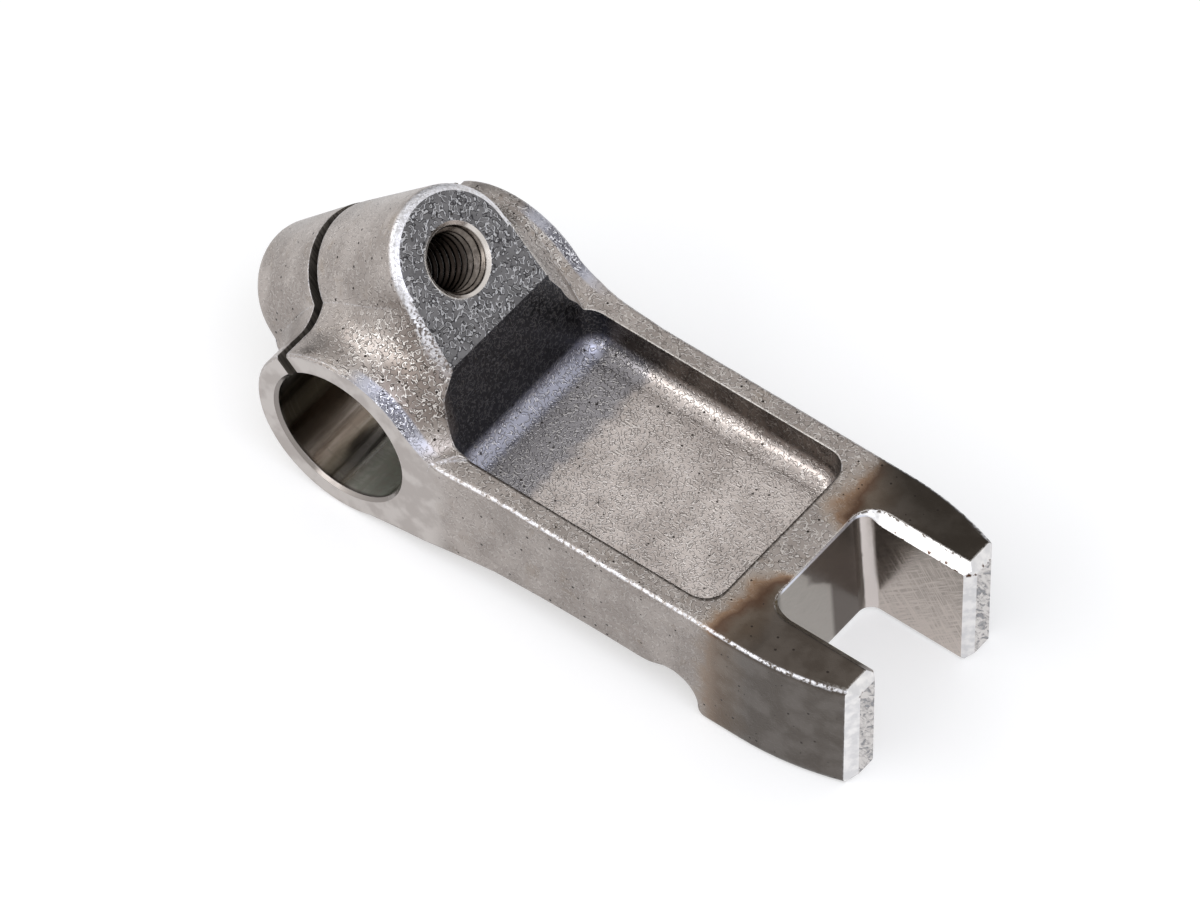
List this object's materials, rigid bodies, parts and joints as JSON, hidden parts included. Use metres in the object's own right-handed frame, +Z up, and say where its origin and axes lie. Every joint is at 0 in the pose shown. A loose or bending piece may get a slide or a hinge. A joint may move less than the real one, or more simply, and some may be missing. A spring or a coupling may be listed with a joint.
{
  "type": "transmission shift fork",
  "caption": "Forged steel shift fork with a split clamping hub, a pinch-bolt boss and ear, a pocketed arm and tines with a square slot between them.",
  "frame": {"origin": "centre of the shaft bore, halfway along it", "axes": "+X from the bore to the tines, +Y along the bore, +Z up, towards the top of the boss: the fork stands on its hub and on the feet of its tines"},
  "size_m": [0.1143, 0.0406, 0.0453],
  "materials": {
    "forged_steel": "blasted forging skin, satin where machined, heat tinted at the tines"
  },
  "bodies": {
    "root": {"shift_fork": "forged_steel"}
  },
  "joints": []
}
